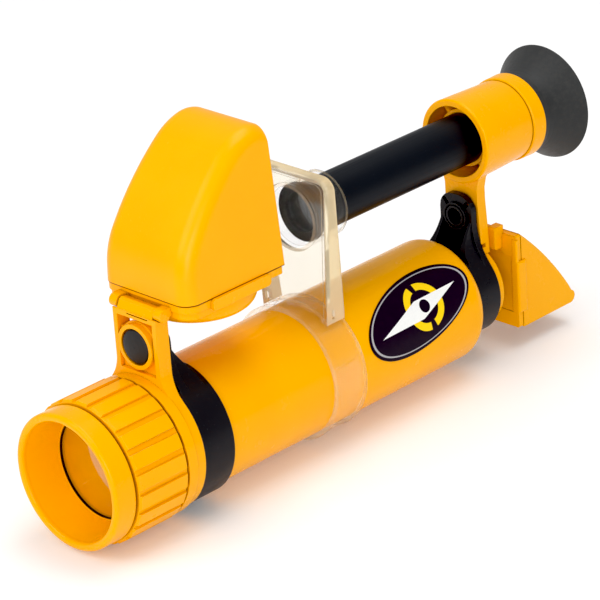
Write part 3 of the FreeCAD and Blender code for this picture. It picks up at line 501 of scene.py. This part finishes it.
LOOKS = {
    "yellow_plastic": yellow("yellow_gloss", (0.20, 0.30)),
    "black_plastic": black("black_satin", (0.30, 0.44), 0.14),
    "sight_tube_black": tube_black(),
    "black_rubber": rubber(),
    "clear_plastic": frosted(),
    "lens_glass": glass(),
    "mirror_glass": mirror(),
    "pin_steel": metal("pin_drawn_steel", STEEL, (0.22, 0.38), (1800.0, 20.0, 1800.0)),
    "jewel_brass": metal("turned_brass", BRASS, (0.2, 0.35), (20.0, 20.0, 4000.0)),
    "card_white": dial((CARD_LOW + CARD_HIGH) / 2),
    "badge_black": label(),
}
OWN_LOOKS = {
    "main_tube": yellow("barrel_yellow", (0.19, 0.29), handling="X", seams=False),
    "front_hood": yellow("hood_yellow", (0.30, 0.38), gloss=0.16, seam_z=HOOD_GAP_SHADE_Z),
    "objective_trim_ring": trim_ring(),
    "objective_lens": painted_reflection_lens(),
    "focus_ring": yellow("grip_yellow", (0.26, 0.38), handling="X", edge=0.9),
    "rear_clamp": black("rear_clamp_black", (0.24, 0.36), 0.08),
    "front_snap_button": black("button_black", (0.36, 0.5), 0.25, BUTTON_BLACK),
    "sight_end_cap": black("cap_black", (0.45, 0.6), 0.25, CAP_BLACK, gloss=0.1),
}
for part in frame["record"]["subparts"]:
    node = NODES[part["node"]]
    look = OWN_LOOKS.get(part["node"]) or LOOKS[part["material_slot"]]
    for slot in node.material_slots:
        slot.material = look

# ----------------------------------------------------------------- the studio

FLOOR_Z = CAD_BOX[0].z - 0.2 * MM
FLOOR_SIZE = 4.0
FLOOR_GLOW = 0.10
LIT_POINT = Vector((0.03, 0.0, 0.03))
# Each softbox: name, place, width and height in metres, watts.
SOFTBOXES = (
    ("key_softbox", (-1.05, 0.25, 0.95), (0.9, 0.9), 6.0),
    ("fill_softbox", (-0.98, -1.02, 0.60), (0.45, 0.45), 4.0),
    ("top_softbox", (0.35, -0.10, 1.5), (1.3, 0.7), 10.0),
    ("near_softbox", (-0.90, -1.20, 0.16), (0.5, 0.9), 3.5),
    ("front_lamp", (-1.40, -0.62, 0.78), (0.08, 0.08), 0.8),
)
AIR_WHITE = (1.0, 1.0, 1.0, 1.0)
AIR_STRENGTH = 0.55
BLACK_LEVEL = (0.014, 0.014, 0.014)


def floor():
    """White paper under the object. It glows a little, which lightens the shadow."""
    sheet = bmesh.new()
    bmesh.ops.create_grid(sheet, x_segments=24, y_segments=24, size=FLOOR_SIZE)
    mesh = bpy.data.meshes.new("studio_floor")
    sheet.to_mesh(mesh)
    sheet.free()
    piece = bpy.data.objects.new("studio_floor", mesh)
    piece.location = (0.0, 0.0, FLOOR_Z)
    bpy.context.scene.collection.objects.link(piece)
    shade = Shade("studio_paper")
    shade.set(Base_Color=shade.mix(shade.noise(3.0), (0.90, 0.90, 0.90), (0.92, 0.92, 0.92)))
    shade.set(Roughness=shade.middle(shade.noise(60.0), 0.75, 0.9), Emission_Strength=FLOOR_GLOW)
    mesh.materials.append(shade.material)


def softbox(name, place, size, watts):
    light = bpy.data.lights.new(name, "AREA")
    light.shape = "RECTANGLE"
    light.size, light.size_y = size
    light.energy = watts
    lamp = bpy.data.objects.new(name, light)
    lamp.location = place
    lamp.rotation_euler = (LIT_POINT - Vector(place)).to_track_quat("-Z", "Y").to_euler()
    bpy.context.scene.collection.objects.link(lamp)


def studio():
    for given in SOFTBOXES:
        softbox(*given)
    world = bpy.data.worlds.new("studio_air")
    world.use_nodes = True
    background = world.node_tree.nodes["Background"]
    background.inputs["Color"].default_value = AIR_WHITE
    background.inputs["Strength"].default_value = AIR_STRENGTH
    bpy.context.scene.world = world
    grade = bpy.context.scene.view_settings
    grade.view_transform = "Standard"
    grade.use_curve_mapping = True
    grade.curve_mapping.black_level = BLACK_LEVEL


# The camera stands off the bell end, a little above, with a slight roll.
AZIMUTH = math.radians(-44.192)
ELEVATION = math.radians(24.317)
ROLL = math.radians(-3.949)
DISTANCE = 1.1697
TARGET = Vector((0.03403, 0.0, 0.0245))
LENS_MM = 204.0
SENSOR_MM = 36.0


def camera():
    data = bpy.data.cameras.new("camera")
    data.sensor_width = SENSOR_MM
    data.lens = LENS_MM
    data.clip_start = 0.05
    view = bpy.data.objects.new("camera", data)
    back = Vector((
        math.sin(AZIMUTH) * math.cos(ELEVATION),
        -math.cos(AZIMUTH) * math.cos(ELEVATION),
        math.sin(ELEVATION),
    ))
    right = Vector((math.cos(AZIMUTH), math.sin(AZIMUTH), 0.0))
    up = back.cross(right)
    turned_right = right * math.cos(ROLL) + up * math.sin(ROLL)
    turned_up = up * math.cos(ROLL) - right * math.sin(ROLL)
    turn = Matrix((turned_right, turned_up, back)).transposed()
    view.matrix_world = Matrix.Translation(TARGET + back * DISTANCE) @ turn.to_4x4()
    bpy.context.scene.collection.objects.link(view)
    bpy.context.scene.camera = view


floor()
studio()
camera()
